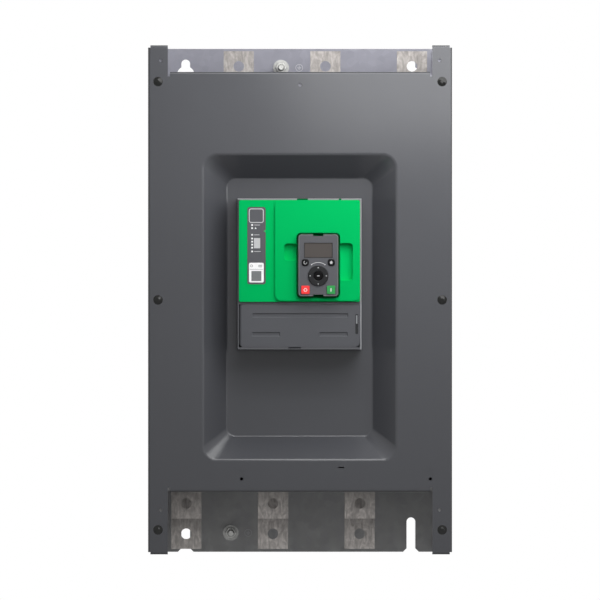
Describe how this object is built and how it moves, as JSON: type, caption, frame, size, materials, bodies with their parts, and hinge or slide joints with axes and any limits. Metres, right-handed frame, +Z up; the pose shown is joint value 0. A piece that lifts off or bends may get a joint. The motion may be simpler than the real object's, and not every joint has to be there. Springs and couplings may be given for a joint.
{
  "type": "soft starter",
  "caption": "Wall-mounted soft starter: folded steel cabinet with a dished dark cover, a green control module with a plug-in display, and busbar ends above and below.",
  "frame": {"origin": "centre of the back plate's rear face, on the wall", "axes": "+X to the right seen from the front, +Y into the wall, +Z up; the front looks along -Y"},
  "size_m": [0.4, 0.3, 0.67],
  "materials": {
    "galvanised_steel": "galvanised, faint spangle",
    "dark_painted_steel": "dark grey powder coat",
    "black_screw": "black, semi-gloss",
    "heatsink_aluminium": "extruded",
    "module_case": "moulded",
    "tinned_copper": "tinned, brushed",
    "zinc_fastener": "zinc plated",
    "insulator": "moulded polyester",
    "transformer_case": "moulded",
    "fan_black": "moulded",
    "circuit_board": "solder mask",
    "module_grey": "moulded, fine texture",
    "module_green": "moulded, satin",
    "strip_grey": "printed film",
    "terminal_block": "moulded",
    "display_grey": "moulded, satin",
    "screen_glass": "clear, glossy",
    "key_dark": "satin",
    "key_red": "satin",
    "key_green": "satin"
  },
  "bodies": {
    "cabinet": {"back_plate": "galvanised_steel", "side_wall_left": "galvanised_steel", "side_wall_right": "galvanised_steel", "top_wall": "galvanised_steel", "bottom_wall": "galvanised_steel", "front_cover": "dark_painted_steel", "cover_screws": "black_screw", "heatsink_1": "heatsink_aluminium", "heatsink_2": "heatsink_aluminium", "heatsink_3": "heatsink_aluminium", "thyristor_module_1": "module_case", "thyristor_module_2": "module_case", "thyristor_module_3": "module_case", "line_bar_1": "tinned_copper", "line_bar_2": "tinned_copper", "line_bar_3": "tinned_copper", "load_bar_1": "tinned_copper", "load_bar_2": "tinned_copper", "load_bar_3": "tinned_copper", "bypass_bar_1": "tinned_copper", "bypass_bar_2": "tinned_copper", "bypass_bar_3": "tinned_copper", "bar_bolts": "zinc_fastener", "upper_bar_support": "insulator", "lower_bar_support": "insulator", "current_transformer_1": "transformer_case", "current_transformer_2": "transformer_case", "current_transformer_3": "transformer_case", "fan_frame_1": "fan_black", "fan_frame_2": "fan_black", "fan_frame_3": "fan_black", "earth_studs": "zinc_fastener", "earth_washers": "zinc_fastener", "earth_nuts": "zinc_fastener", "mounting_plate": "galvanised_steel", "board_posts": "zinc_fastener", "power_board": "circuit_board", "control_base": "module_grey", "control_board": "circuit_board", "control_bezel": "module_green", "status_strip": "strip_grey", "control_panel": "module_green", "terminal_block_left": "terminal_block", "terminal_block_right": "terminal_block"},
    "display_terminal": {"display_case": "display_grey", "screen_lens": "screen_glass"},
    "escape_key": {"escape_key": "key_dark"},
    "home_key": {"home_key": "key_dark"},
    "stop_key": {"stop_key": "key_red"},
    "run_key": {"run_key": "key_green"},
    "navigation_ring": {"navigation_ring": "key_dark"},
    "select_key": {"select_key": "key_dark"},
    "terminal_lid": {"terminal_cover": "module_grey"},
    "fan_1": {"fan_rotor_1": "fan_black"},
    "fan_2": {"fan_rotor_2": "fan_black"},
    "fan_3": {"fan_rotor_3": "fan_black"}
  },
  "joints": [
    {"name": "terminal_cover_hinge", "type": "hinge", "parent": "cabinet", "child": "terminal_lid", "pos_m": [-0.0764, -0.282, -0.034], "axis": [0, 0, -1], "range_deg": [0, 90]},
    {"name": "display_unplug", "type": "slide", "parent": "cabinet", "child": "display_terminal", "axis": [0, -1, 0], "range_m": [0, 0.03]},
    {"name": "escape_key_press", "type": "slide", "parent": "display_terminal", "child": "escape_key", "axis": [0, 1, 0], "range_m": [0, 0.0006], "stiffness_N_per_m": 1200},
    {"name": "home_key_press", "type": "slide", "parent": "display_terminal", "child": "home_key", "axis": [0, 1, 0], "range_m": [0, 0.0006], "stiffness_N_per_m": 1200},
    {"name": "stop_key_press", "type": "slide", "parent": "display_terminal", "child": "stop_key", "axis": [0, 1, 0], "range_m": [0, 0.0006], "stiffness_N_per_m": 1200},
    {"name": "run_key_press", "type": "slide", "parent": "display_terminal", "child": "run_key", "axis": [0, 1, 0], "range_m": [0, 0.0006], "stiffness_N_per_m": 1200},
    {"name": "navigation_ring_press", "type": "slide", "parent": "display_terminal", "child": "navigation_ring", "axis": [0, 1, 0], "range_m": [0, 0.0006], "stiffness_N_per_m": 1200},
    {"name": "select_key_press", "type": "slide", "parent": "display_terminal", "child": "select_key", "axis": [0, 1, 0], "range_m": [0, 0.0006], "stiffness_N_per_m": 1200},
    {"name": "fan_1_spin", "type": "hinge", "parent": "cabinet", "child": "fan_1", "pos_m": [-0.11475, -0.0513, -0.23], "axis": [0, 0, 1], "continuous": true},
    {"name": "fan_2_spin", "type": "hinge", "parent": "cabinet", "child": "fan_2", "pos_m": [0, -0.0513, -0.23], "axis": [0, 0, 1], "continuous": true},
    {"name": "fan_3_spin", "type": "hinge", "parent": "cabinet", "child": "fan_3", "pos_m": [0.11475, -0.0513, -0.23], "axis": [0, 0, 1], "continuous": true}
  ]
}
